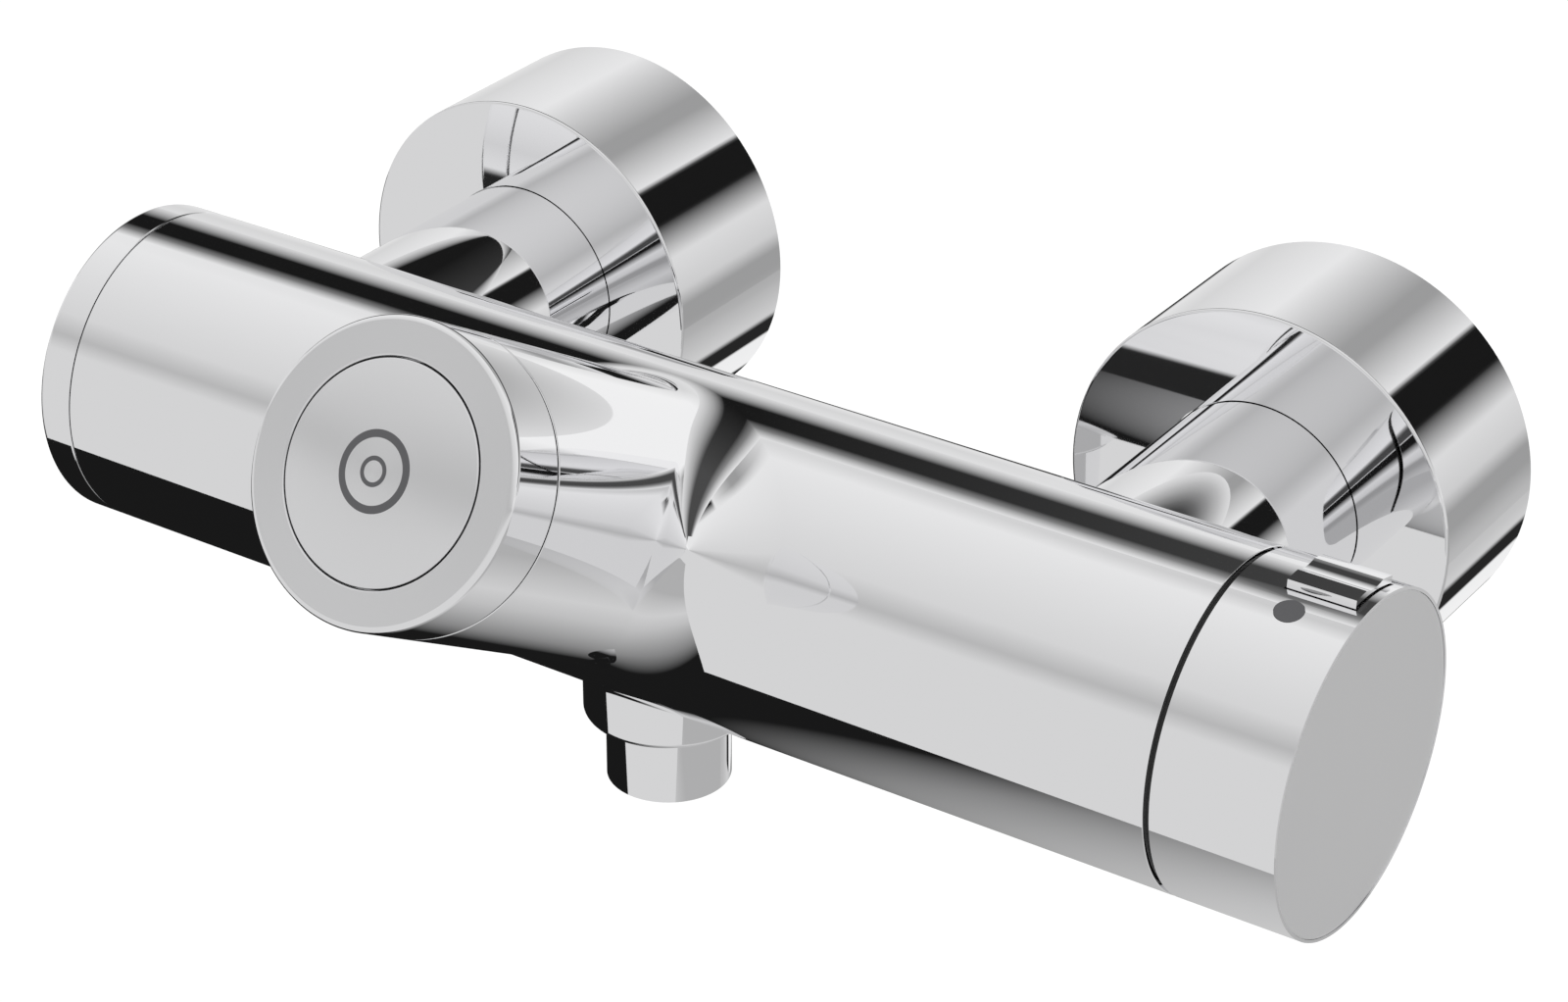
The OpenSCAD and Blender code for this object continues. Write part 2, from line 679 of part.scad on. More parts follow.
// Nut that slides as the spindle turns in it, and the spindle that the handle turns
screw_r = 2;
screw_depth = 9;
spindle_ring_z = gland_l - o_ring_groove_w;
spindle_groove_r = spindle_r - o_ring_cord;
module adjusting_nut() color("darkgoldenrod") on_cartridge() {
  difference() {
    rod(nut_r, rod_end, rod_end + nut_l);
    rod(thread_r, rod_end + seat_ring_h, rod_end + nut_l + cut);
  }
  nut_keys(0, rod_end + slack, thermo_flange_h - key_reach);
}
module adjusting_spindle() color(brass) on_cartridge() difference() {
  union() {
    rod(thread_r - fit, rod_end + seat_ring_h + cut, spindle_collar_z + cut);
    rod(spindle_collar_r, spindle_collar_z, spindle_collar_z + spindle_collar_h);
    rod(spindle_r, spindle_collar_z, handle_z + adaptor_back - slack);
    rod(spline_r, gland_l, spindle_end);
  }
  translate([0, 0, spindle_ring_z])
    ring(spindle_collar_r, spindle_groove_r, -o_ring_groove_w/2, o_ring_groove_w/2);
  rod(screw_r, spindle_end - screw_depth, spindle_end + cut);
}
module spindle_o_ring() color(black) on_cartridge() o_ring(spindle_groove_r, spindle_ring_z);

// Nut that clamps the thermostat cartridge in the tube
module cartridge_nut() color(brass) on_cartridge() difference() {
  rod(gland_bore_r - fit, thermo_flange_h, gland_l);
  rod(nut_r + slack, 0, spindle_collar_z + spindle_collar_h + slack);
  rod(spindle_r + fit, 0, gland_l + cut);
}

// Fixed ring whose lug ends the handle's travel both ways
stop_ring_h = 3;
stop_ring_inner = 9.2;
lug_rise = 2.6;
lug_w = 4;
lug_r = 14;
lug_angle = 270;
hot_travel = 60;
cold_travel = 150;
dog_margin = 1.5;
dog_spread = 2*atan(lug_w/2/(lug_r - lug_w/2)) + dog_margin;
module stop_block(angle, from, to) rotate([0, 0, 180 - angle])
  translate([-lug_w/2, lug_r - lug_w/2, from]) cube([lug_w, lug_w, to - from]);
module stop_ring() color(black) on_cartridge() {
  ring(gland_bore_r - slack, stop_ring_inner, gland_l, gland_l + stop_ring_h);
  stop_block(lug_angle, gland_l + stop_ring_h - cut, gland_l + stop_ring_h + lug_rise);
}

// Dark ring in the gap between body and handle
seam_ring_r = tube_r - 2*rim_w - fit;
seam_ring_w = 1.8;
module seam_ring() color(black) on_tube(body_right)
  ring(seam_ring_r, seam_ring_r - seam_ring_w, -seam_ring_h, handle_gap/2);

// Insert that couples the handle to the spindle, with a dog at each end of its travel
spring_post_h = 3;
spring_post_w = 6;
arm_w = 3;
arm_h = 1.8;
arm_drop = 6.3;
arm_r = handle_inner_r - arm_drop;
stop_spring_l = 4.2;
spring_post_r = arm_r - stop_spring_l;
arm_l = 4;
arm_tip_z = -0.6;
stop_slot_h = arm_h + stop_travel + 4*slack;
module handle_adaptor() color("white") difference() {
  union() {
    on_handle() rod(handle_inner_r - fit, adaptor_web_z, adaptor_web_z + adaptor_web_h);
    on_handle() rod(adaptor_hub_r, adaptor_back, adaptor_web_z + cut);
    for (angle = [lug_angle + cold_travel + dog_spread, lug_angle - hot_travel - dog_spread])
      on_handle() stop_block(angle, adaptor_back, adaptor_web_z + cut);
    on_stop() translate([adaptor_web_z + cut - stop_z, -spring_post_w/2, spring_post_r - spring_post_h])
      cube([stop_z - adaptor_web_z - cut, spring_post_w, spring_post_h]);
  }
  on_handle() rod(spline_r + fit/2, adaptor_back - cut, spindle_end - handle_z + fit);
  on_handle() rod(screw_r + slack, adaptor_back, adaptor_web_z + adaptor_web_h + cut);
  on_stop() translate([-stop_z, -arm_w/2 - loose, arm_r - stop_travel - 2*slack])
    cube([stop_z, arm_w + 2*loose, stop_slot_h]);
}
screw_head_r = 3.5;
screw_head_h = 2.4;
module handle_screw() color("gray") on_handle() difference() {
  union() {
    rod(screw_r - fit, spindle_end - handle_z - screw_depth + cut, adaptor_web_z + adaptor_web_h + cut);
    rod(screw_head_r, adaptor_web_z + adaptor_web_h, adaptor_web_z + adaptor_web_h + screw_head_h);
  }
  hexagon(screw_head_r, adaptor_web_z + adaptor_web_h + screw_head_h/2, handle_l);
}

// Handle shell, with its window for the stop button and its pocket for the dot
module temperature_handle() color(chrome) difference() {
  on_handle() difference() {
    rod(tube_r, 0, handle_l);
    rod(handle_inner_r, -cut, handle_l - disc_h - handle_end_wall);
    rod(tube_r - rim_w, handle_l - disc_h, handle_l + cut);
  }
  on_stop() translate([-stop_l/2 - loose, -stop_w/2 - loose, arm_r])
    cube([stop_l + 2*loose, stop_w + 2*loose, tube_r]);
  dot_plug(dot_d/2 + fit, cut);
}
module dot_plug(r, above) on_angle(dot_angle, handle_x + stop_z - stop_l/4)
  rod(r, tube_r - pocket_depth, tube_r + above);
module handle_disc() color(chrome) on_handle()
  rod(tube_r - rim_w - fit, handle_l - disc_h, handle_l - slack);
module index_dot() color(black) dot_plug(dot_d/2, 0);

// Stop button that lets the handle turn past 38 degrees while it is pressed
scoop_r = 8;
scoop_depth = 0.6;
pad_top_r = tube_r + stop_rise;
pad_low_r = handle_inner_r + rim_w;
module stop_button() color(chrome) difference() {
  union() {
    intersection() {
      on_stop() translate([-stop_l/2, -stop_w/2, arm_r]) cube([stop_l, stop_w, tube_r]);
      on_handle() ring(pad_top_r, pad_low_r, 0, handle_l);
    }
    on_stop() translate([-arm_l, -arm_w/2, arm_r]) cube([arm_l, arm_w, pad_low_r + cut/2 - arm_r]);
    on_stop() translate([arm_tip_z - stop_z, -arm_w/2, arm_r]) cube([stop_z - arm_tip_z, arm_w, arm_h]);
  }
  on_stop() translate([-stop_l, 0, pad_top_r + scoop_r - scoop_depth]) rotate([0, 90, 0])
    cylinder(r = scoop_r, h = 2*stop_l);
}
stop_spring_r = 1.5;
stop_wire_r = 0.3;
stop_turns = 3;
module stop_button_spring() color("gray") on_stop() translate([-arm_l/2, 0, 0])
  spring("stop button spring", stop_spring_r, stop_wire_r, spring_post_r + fit, arm_r - fit, stop_turns);

valve_body();
end_cap();
end_cap_o_ring();
wall_union_left();
wall_union_right();
rosette_left();
rosette_right();
union_nut_left();
union_nut_right();
filter_washer_left();
filter_washer_right();
inlet_nipple_left();
inlet_nipple_right();
check_valve_cage_left();
check_valve_cage_right();
check_valve_poppet_left();
check_valve_poppet_right();
check_valve_spring_left();
check_valve_spring_right();
outlet_nipple();
outlet_o_ring();
flow_regulator();
timing_housing();
timing_o_rings();
timing_nut();
timing_plunger();
plunger_seal();
seat_washer();
timing_spring();
button_bezel();
push_button();
button_mark();
thermostat_housing();
thermostat_o_rings();
regulating_sleeve();
wax_element();
regulating_spring();
adjusting_nut();
adjusting_spindle();
spindle_o_ring();
cartridge_nut();
stop_ring();
seam_ring();
handle_adaptor();
handle_screw();
temperature_handle();
handle_disc();
index_dot();
stop_button();
stop_button_spring();
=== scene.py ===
import json
from math import acos, atan2, ceil, cos, degrees, pi, radians, sin, sqrt, tan

import bpy
import numpy as np
from mathutils import Matrix, Vector
from mathutils.geometry import delaunay_2d_cdt


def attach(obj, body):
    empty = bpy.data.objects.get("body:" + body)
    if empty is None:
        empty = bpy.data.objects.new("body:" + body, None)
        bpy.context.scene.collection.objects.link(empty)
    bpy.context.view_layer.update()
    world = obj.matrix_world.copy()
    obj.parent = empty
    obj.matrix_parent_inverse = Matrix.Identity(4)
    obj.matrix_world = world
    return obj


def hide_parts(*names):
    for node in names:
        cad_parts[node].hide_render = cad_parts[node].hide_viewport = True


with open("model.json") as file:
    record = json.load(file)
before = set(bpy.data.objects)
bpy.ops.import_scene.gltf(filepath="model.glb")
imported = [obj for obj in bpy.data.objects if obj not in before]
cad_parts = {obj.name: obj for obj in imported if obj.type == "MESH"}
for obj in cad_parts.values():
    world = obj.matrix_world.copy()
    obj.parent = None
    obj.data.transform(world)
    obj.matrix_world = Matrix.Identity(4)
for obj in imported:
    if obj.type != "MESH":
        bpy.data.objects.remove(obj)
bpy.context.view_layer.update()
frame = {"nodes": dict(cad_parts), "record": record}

MM = 0.001

# Sizes of the valve in millimetres, as in the frame
TUBE_R = 27.5
TUBE_REACH = 92.5
AXIS_Z = -12.5
INLET_X = 75
BODY_LEFT = -105
BODY_RIGHT = 104.3
CAP_L = 7
CAP_EDGE = 1
SEAM = 0.3
BOSS_TILT = 30.7
BOSS_R = 23.4
BOSS_L = 70.9
BEZEL_FRONT = 82.4
BUTTON_R = 16.9
BUTTON_GAP = 0.25
BEZEL_EDGE = 1
BEZEL_SKIN = 2
DOME_H = 1.8
DOME_R = 80.236
MARK_R = 6.2
MARK_IN_R = 5
SMALL_MARK_R = 2.3
SMALL_MARK_IN_R = 1.6
MARK_DEPTH = 0.4
SPIGOT_R = 18.7
SPIGOT_T = 29.1
COLLAR_R = 14.2
COLLAR_DROP = 33.2
OUTLET_BORE_R = 6.5
CAP_FACE_T = 1
PLUG_L = 9
PLUG_R = 20.95
PLUG_BORE_R = 17.35
PLUG_GROOVE_R = 19.15
PLUG_GROOVE = (3.3, 5.7)
BEZEL_BACK = 61.4
BEZEL_THREAD_R = 19.9
SKIRT_BORE_R = 17.8
SKIRT_TOP = 74
STEM_BORE_R = 3.025
STEM_TOP = 68.1
HUB_R = 5
HUB_BACK = 66
BUTTON_PLATE = 79.4
LIP_IN_R = 15
LIP_OUT_R = 17.5
LIP_BACK = 72
LIP_TOP = 73.9
HOT_R = 21
HOT_X = -60
RIM_BORE_R = 26.5
RIM_DEPTH = 1.5
THERMO_R = 20
THERMO_X = 84
COLD_R = 17
COLD_X = 28
HEAD_R = 20
HEAD_SEAT = 54
TIMING_R = 15
TIMING_SEAT = 7
PORT_R = 11
PORT_END = -6
THREAD_R = 9.85
REGULATOR_SEAT = 24
OUTLET_SEAT = 16
NIPPLE_R = 10.5
NIPPLE_SEAT = 50.1
CHECK_R = 9.15
CHECK_SEAT = 32
COLLAR_EDGE = 1

# Softness of edges and fillets in millimetres
BOSS_BLEND = 14
SPIGOT_BLEND = 1.5
COLLAR_BLEND = 1.5
FINE_EDGE = 0.15
SOFT_EDGE = 0.3

# Fineness of the skins: counts, steps in degrees and lengths in millimetres
TURNS = 192
BRANCH_TURNS = 128
BLEND_STEPS = 13
STEM_STEPS = 5
DOME_STEPS = 5
SEAM_STEP = 60
ARC_STEP = 9
FACET = 6
NEAR_SHARE = 1 / 6
MERGE_DIGITS = 4
CUT_PRECISION = 1e-6

# Angles square to the tube, up from the front
DOWN = -90
BACKWARD = 180


def place(origin, x_axis, y_axis, z_axis):
    """Local frame of a turned shape: its origin and its three axes."""
    return np.array(origin, float), np.array([x_axis, y_axis, z_axis], float)


def direction(angle):
    """Unit vector square to the tube at an angle up from the front."""
    return np.array([0, -cos(radians(angle)), sin(radians(angle))])


TUBE_POINT = np.array([0, -TUBE_REACH, AXIS_Z])
X_AXIS = np.array([1.0, 0, 0])


def tube_place(x=0, sense=1):
    """Turned about the tube's axis from x, along +X or -X."""
    return place(TUBE_POINT + x * X_AXIS, direction(0), direction(90), sense * X_AXIS)


def branch_place(angle, x=0):
    """Turned about an axis square to the tube, at an angle up from the front."""
    return place(TUBE_POINT + x * X_AXIS, X_AXIS, direction(angle + 90), direction(angle))


def to_frame(where, points):
    origin, axes = where
    return origin + np.asarray(points, float) @ axes


def turn_frame(where, normals):
    return np.asarray(normals, float) @ where[1]


class Skin:
    """A closed surface gathered from patches that carry their true normals."""

    def __init__(self):
        self.points, self.normals, self.faces, self.count = [], [], [], 0

    def add(self, points, normals, faces):
        points = np.asarray(points, float).reshape(-1, 3)
        normals = np.asarray(normals, float).reshape(-1, 3)
        faces = np.asarray(faces, int)
        last = faces.shape[1] - 1
        first_diagonal = points[faces[:, 2]] - points[faces[:, 0]]
        second_diagonal = points[faces[:, last]] - points[faces[:, 1]]
        spread = np.cross(first_diagonal, second_diagonal)
        turned_over = (spread * normals[faces].sum(1)).sum(1) < 0
        faces[turned_over] = faces[turned_over][:, ::-1]
        self.points.append(points)
        self.normals.append(normals)
        self.faces += (faces + self.count).tolist()
        self.count += len(points)

    def grid(self, points, normals, closed=False):
        """Quads over points[rows][columns], closed around the rows."""
        rows, columns = points.shape[:2]
        index = np.arange(rows * columns).reshape(rows, columns)
        if closed:
            index = np.vstack([index, index[:1]])
        quads = np.stack([index[:-1, :-1], index[1:, :-1], index[1:, 1:], index[:-1, 1:]], -1)
        self.add(points, normals, quads.reshape(-1, 4))

    def build(self, name, material, body, replaced=()):
        points, normals = np.vstack(self.points), np.vstack(self.normals)
        rounded = np.round(points, MERGE_DIGITS)
        first, back = np.unique(rounded, axis=0, return_index=True, return_inverse=True)[1:]
        back = back.reshape(-1)
        faces, loops = [], []
        for face in self.faces:
            kept, marks = [], []
            for corner in face:
                if back[corner] not in kept:
                    kept.append(int(back[corner]))
                    marks.append(corner)
            if len(kept) > 2:
                faces.append(kept)
                loops += marks
        mesh = bpy.data.meshes.new(name)
        mesh.from_pydata((points[first] * MM).tolist(), [], faces)
        mesh.polygons.foreach_set("use_smooth", [True] * len(mesh.polygons))
        mesh.normals_split_custom_set(normals[loops].tolist())
        mesh.materials.append(material)
        piece = bpy.data.objects.new(name, mesh)
        bpy.context.scene.collection.objects.link(piece)
        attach(piece, body)
        if replaced:
            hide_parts(*replaced)


def arc_points(center, radius, start, end):
    """Points and normals along an arc in a profile's plane, angles in degrees."""
    steps = max(2, ceil(abs(end - start) / ARC_STEP))
    angles = np.radians(np.linspace(start, end, steps + 1))
    around = np.stack([np.cos(angles), np.sin(angles)], 1)
    return np.array(center) + radius * around, around


def outline(corners):
    """Runs of a profile from corners (r, z, round); the outside lies on the right-hand side."""
    spots = np.array([c[:2] for c in corners], float)
    rounds = [c[2] if len(c) > 2 else 0 for c in corners]
    ways = np.diff(spots, axis=0)
    lengths = np.linalg.norm(ways, axis=1)
    ways = ways / lengths[:, None]
    sides = np.stack([ways[:, 1], -ways[:, 0]], 1)
    runs, at = [], spots[0]
    for i in range(len(ways)):
        end = spots[i + 1]
        arc = None
        if i + 1 < len(ways) and rounds[i + 1]:
            bend = atan2(ways[i][0] * ways[i + 1][1] - ways[i][1] * ways[i + 1][0], ways[i] @ ways[i + 1])
            back = rounds[i + 1] * tan(abs(bend) / 2)
            end = spots[i + 1] - ways[i] * back
            inward = 1 if bend > 0 else -1
            center = end - inward * rounds[i + 1] * sides[i]
            start = degrees(atan2(*(inward * sides[i])[::-1]))
            points, around = arc_points(center, rounds[i + 1], start, start + degrees(bend))
            arc = (points, inward * around)
        runs.append((np.array([at, end]), np.array([sides[i], sides[i]])))
        at = end
        if arc:
            runs.append(arc)
            at = arc[0][-1]
    return runs


def turned(skin, where, runs, turns=TURNS):
    """Turns a profile's runs about the local z axis."""
    angles = 2 * pi * np.arange(turns) / turns
    c, s = np.cos(angles)[:, None], np.sin(angles)[:, None]
    for points, normals in runs:
        r, z = points[:, 0], points[:, 1]
        nr, nz = normals[:, 0], normals[:, 1]
        grid = np.stack([c * r, s * r, np.ones_like(c) * z], -1)
        facing = np.stack([c * nr, s * nr, np.ones_like(c) * nz], -1)
        skin.grid(to_frame(where, grid), turn_frame(where, facing), closed=True)


def inside(loop, spots):
    """Which spots lie inside a closed loop, both in the plane."""
    a, b = loop, np.roll(loop, -1, 0)
    x, y = spots[:, :1], spots[:, 1:]
    crossing = (a[:, 1] > y) != (b[:, 1] > y)
    with np.errstate(divide="ignore", invalid="ignore"):
        at = (b[:, 0] - a[:, 0]) * (y - a[:, 1]) / (b[:, 1] - a[:, 1]) + a[:, 0]
    return (crossing & (x < at)).sum(1) % 2 == 1


def near(loop, spots, distance):
    """Which spots lie closer than a distance to a loop's points."""
    return np.linalg.norm(spots[:, None] - loop[None], axis=2).min(1) < distance


def pierced(skin, where, radius, low, high, loops, seam_step, gap):
    """Cylinder from z = low to high with closed loops (angle, z) cut out of it."""
    angles = 2 * pi * (np.arange(TURNS + 1) + seam_step) / TURNS
    stations = np.linspace(low, high, max(2, ceil((high - low) / gap)) + 1)
    spots = [np.stack([radius * angles, np.full_like(angles, z)], 1) for z in (low, high)]
    sides = [np.stack([np.full(len(stations) - 2, radius * angles[i]), stations[1:-1]], 1) for i in (0, -1)]
    border = np.vstack([spots[0], sides[1], spots[1][::-1], sides[0][::-1]])
    rings = []
    for loop in loops:
        turn = np.mod(loop[:, 0] - angles[0], 2 * pi) + angles[0]
        rings.append(np.stack([radius * turn, loop[:, 1]], 1))
    inner = np.stack(np.meshgrid(radius * angles[1:-1], stations[1:-1], indexing="ij"), -1).reshape(-1, 2)
    for ring in rings:
        inner = inner[~(inside(ring, inner) | near(ring, inner, gap * NEAR_SHARE))]
    edges, start = [], 0
    for closed in [border] + rings:
        n = len(closed)
        edges += [(start + i, start + (i + 1) % n) for i in range(n)]
        start += n
    flat = np.vstack([border] + rings + [inner])
    found = delaunay_2d_cdt([Vector(p) for p in flat], edges, [], 0, CUT_PRECISION, False)
    flat = np.array([tuple(p) for p in found[0]])
    faces = np.array([f for f in found[2]])
    middle = flat[faces].mean(1)
    for ring in rings:
        keep = ~inside(ring, middle)
        faces, middle = faces[keep], middle[keep]
    turn = flat[:, 0] / radius
    around = np.stack([np.cos(turn), np.sin(turn), np.zeros(len(turn))], 1)
    points = radius * around
    points[:, 2] = flat[:, 1]
    skin.add(to_frame(where, points), turn_frame(where, around), faces)


def branch(skin, angle, x, radius, blend, reach):
    """Filleted stem of a round branch; returns its loop on the tube."""
    where = branch_place(angle, x)
    turn = 2 * pi * np.arange(BRANCH_TURNS) / BRANCH_TURNS
    u, v = (radius + blend) * np.cos(turn), (radius + blend) * np.sin(turn)
    w = np.sqrt((TUBE_R + blend) ** 2 - v ** 2)
    center = np.stack([u, v, w], 1)
    from_stem = np.stack([np.cos(turn), np.sin(turn), 0 * turn], 1)
    from_tube = np.stack([0 * turn, v, w], 1) / (TUBE_R + blend)
    opening = np.arccos(np.clip((from_stem * from_tube).sum(1), -1, 1))
    share = np.linspace(0, 1, BLEND_STEPS)
    a = np.sin((1 - share)[None] * opening[:, None]) / np.sin(opening)[:, None]
    b = np.sin(share[None] * opening[:, None]) / np.sin(opening)[:, None]
    normals = a[..., None] * from_stem[:, None] + b[..., None] * from_tube[:, None]
    points = center[:, None] - blend * normals
    skin.grid(to_frame(where, points), turn_frame(where, normals), closed=True)
    foot = points[:, 0]
    heads = foot.copy()
    heads[:, 2] = reach
    steps = np.linspace(0, 1, STEM_STEPS)[None, :, None]
    stem = foot[:, None] * (1 - steps) + heads[:, None] * steps
    stem_normals = np.repeat(from_stem[:, None], STEM_STEPS, 1)
    skin.grid(to_frame(where, stem), turn_frame(where, stem_normals), closed=True)
    ends = points[:, -1]
    return np.stack([radians(angle) + np.arctan2(ends[:, 1], ends[:, 2]), x + ends[:, 0]], 1)


MATERIALS = {}
NOISE_LOW = 0.3
NOISE_HIGH = 0.7
BUMP_HEIGHT = 0.1 * MM


def node_tree(name):
    material = bpy.data.materials.new(name)
    material.use_nodes = True
    MATERIALS[name] = material
    nodes, links = material.node_tree.nodes, material.node_tree.links
    return material, nodes, links, nodes["Principled BSDF"]


def noise(nodes, links, scale, detail=3, stretch=(1, 1, 1)):
    """Noise over the object's own place, stretched along its axes."""
    place_node = nodes.new("ShaderNodeTexCoord")
    mapping = nodes.new("ShaderNodeMapping")
    mapping.inputs["Scale"].default_value = stretch
    texture = nodes.new("ShaderNodeTexNoise")
    texture.inputs["Scale"].default_value = scale
    texture.inputs["Detail"].default_value = detail
    links.new(place_node.outputs["Object"], mapping.inputs["Vector"])
    links.new(mapping.outputs["Vector"], texture.inputs["Vector"])
    return texture.outputs["Fac"]


def ramp(nodes, links, source, low, high):
    """Maps a noise to a range of values."""
    node = nodes.new("ShaderNodeMapRange")
    node.inputs["From Min"].default_value = NOISE_LOW
    node.inputs["From Max"].default_value = NOISE_HIGH
    node.inputs["To Min"].default_value = low
    node.inputs["To Max"].default_value = high
    links.new(source, node.inputs["Value"])
    return node.outputs["Result"]


def metal(name, color, rough_low, rough_high, scale=60):
    material, nodes, links, shader = node_tree(name)
    shader.inputs["Base Color"].default_value = (*color, 1)
    shader.inputs["Metallic"].default_value = 1
    roughness = ramp(nodes, links, noise(nodes, links, scale), rough_low, rough_high)
    links.new(roughness, shader.inputs["Roughness"])
    return material


def plain(name, color, rough, bump_scale=900, bump=0.05):
    material, nodes, links, shader = node_tree(name)
    shader.inputs["Base Color"].default_value = (*color, 1)
    shader.inputs["Roughness"].default_value = rough
    texture = noise(nodes, links, bump_scale)
    bump_node = nodes.new("ShaderNodeBump")
    bump_node.inputs["Strength"].default_value = bump
    bump_node.inputs["Distance"].default_value = BUMP_HEIGHT
    links.new(texture, bump_node.inputs["Height"])
    links.new(bump_node.outputs["Normal"], shader.inputs["Normal"])
    return material


def brushed(name, color, rough, turned_about, anisotropy):
    """Metal with fine turned scratches round an axis."""
    material, nodes, links, shader = node_tree(name)
    shader.inputs["Base Color"].default_value = (*color, 1)
    shader.inputs["Metallic"].default_value = 1
    shader.inputs["Roughness"].default_value = rough
    shader.inputs["Anisotropic"].default_value = anisotropy
    origin, axes = turned_about
    spot = nodes.new("ShaderNodeTexCoord").outputs["Object"]
    offset = nodes.new("ShaderNodeVectorMath")
    offset.operation = "SUBTRACT"
    offset.inputs[1].default_value = tuple(origin * MM)
    links.new(spot, offset.inputs[0])
    around = nodes.new("ShaderNodeVectorMath")
    around.operation = "CROSS_PRODUCT"
    around.inputs[1].default_value = tuple(axes[2])
    links.new(offset.outputs["Vector"], around.inputs[0])
    outward = nodes.new("ShaderNodeVectorMath")
    outward.operation = "CROSS_PRODUCT"
    outward.inputs[0].default_value = tuple(axes[2])
    links.new(around.outputs["Vector"], outward.inputs[1])
    links.new(outward.outputs["Vector"], shader.inputs["Tangent"])
    return material


CHROME = metal("polished_chrome", (0.93, 0.93, 0.94), 0.015, 0.03)
SATIN = brushed("satin_chrome", (0.86, 0.86, 0.87), 0.24, branch_place(BOSS_TILT), 0.6)
metal("end_disc_satin", (0.94, 0.94, 0.945), 0.38, 0.42)
metal("raw_brass", (0.78, 0.60, 0.30), 0.25, 0.4)
metal("wax_copper", (0.72, 0.42, 0.28), 0.25, 0.4)
metal("spring_steel", (0.55, 0.55, 0.56), 0.25, 0.35)
plain("seal_rubber", (0.02, 0.02, 0.02), 0.6)
plain("white_plastic", (0.8, 0.8, 0.78), 0.4)
plain("black_plastic", (0.012, 0.012, 0.012), 0.45)
plain("dark_mark", (0.09, 0.09, 0.095), 0.35)


def finish_nodes():
    """Gives every CAD node the procedural material of its slot."""
    for row in frame["record"]["subparts"]:
        node = frame["nodes"][row["node"]]
        for material_slot in node.material_slots:
            material_slot.material = MATERIALS[row["material_slot"]]


def make_body():
    skin = Skin()
    loops = [branch(skin, BOSS_TILT, 0, BOSS_R, BOSS_BLEND, BOSS_L - FINE_EDGE)]
    loops.append(branch(skin, DOWN, 0, COLLAR_R, COLLAR_BLEND, COLLAR_DROP - COLLAR_EDGE))
    for side in (-1, 1):
        loops.append(branch(skin, BACKWARD, side * INLET_X, SPIGOT_R, SPIGOT_BLEND, TUBE_REACH - SPIGOT_T))
    low, high = BODY_LEFT + FINE_EDGE, BODY_RIGHT - FINE_EDGE
    pierced(skin, tube_place(), TUBE_R, low, high, loops, SEAM_STEP, FACET)
    left_end = [(0, HOT_X), (HOT_R, HOT_X), (HOT_R, BODY_LEFT), (TUBE_R, BODY_LEFT, FINE_EDGE), (TUBE_R, low)]
    turned(skin, tube_place(), outline(left_end))
    rim = BODY_RIGHT - RIM_DEPTH
    right_end = [(TUBE_R, high), (TUBE_R, BODY_RIGHT, FINE_EDGE), (RIM_BORE_R, BODY_RIGHT), (RIM_BORE_R, rim),
                 (THERMO_R, rim), (THERMO_R, THERMO_X), (COLD_R, THERMO_X), (COLD_R, COLD_X), (0, COLD_X)]
    turned(skin, tube_place(), outline(right_end))
    boss = [(BOSS_R, BOSS_L - FINE_EDGE), (BOSS_R, BOSS_L, FINE_EDGE), (HEAD_R, BOSS_L), (HEAD_R, HEAD_SEAT),
            (TIMING_R, HEAD_SEAT), (TIMING_R, TIMING_SEAT), (PORT_R, TIMING_SEAT), (PORT_R, PORT_END),
            (0, PORT_END)]
    turned(skin, branch_place(BOSS_TILT), outline(boss), BRANCH_TURNS)
    collar = [(COLLAR_R, COLLAR_DROP - COLLAR_EDGE), (COLLAR_R, COLLAR_DROP, COLLAR_EDGE),
              (THREAD_R, COLLAR_DROP), (THREAD_R, REGULATOR_SEAT), (OUTLET_BORE_R, REGULATOR_SEAT),
              (OUTLET_BORE_R, OUTLET_SEAT), (0, OUTLET_SEAT)]
    turned(skin, branch_place(DOWN), outline(collar), BRANCH_TURNS)
    reach = TUBE_REACH - SPIGOT_T
    spigot = [(SPIGOT_R, reach), (NIPPLE_R, reach), (NIPPLE_R, NIPPLE_SEAT), (CHECK_R, NIPPLE_SEAT),
              (CHECK_R, CHECK_SEAT), (0, CHECK_SEAT)]
    for side in (-1, 1):
        turned(skin, branch_place(BACKWARD, side * INLET_X), outline(spigot), BRANCH_TURNS)
    skin.build("valve_body_skin", CHROME, "valve", ["valve_body"])


def dome_run(outer, inner, depth=0):
    """Run of the button's dome, or of a groove's floor under it, between two radii."""
    radius = DOME_R - depth
    center = (0, BEZEL_FRONT + DOME_H - DOME_R)
    low, high = degrees(acos(outer / radius)), degrees(acos(inner / radius))
    stops = np.linspace(low, high, DOME_STEPS)
    return [arc_points(center, radius, start, end) for start, end in zip(stops, stops[1:])]


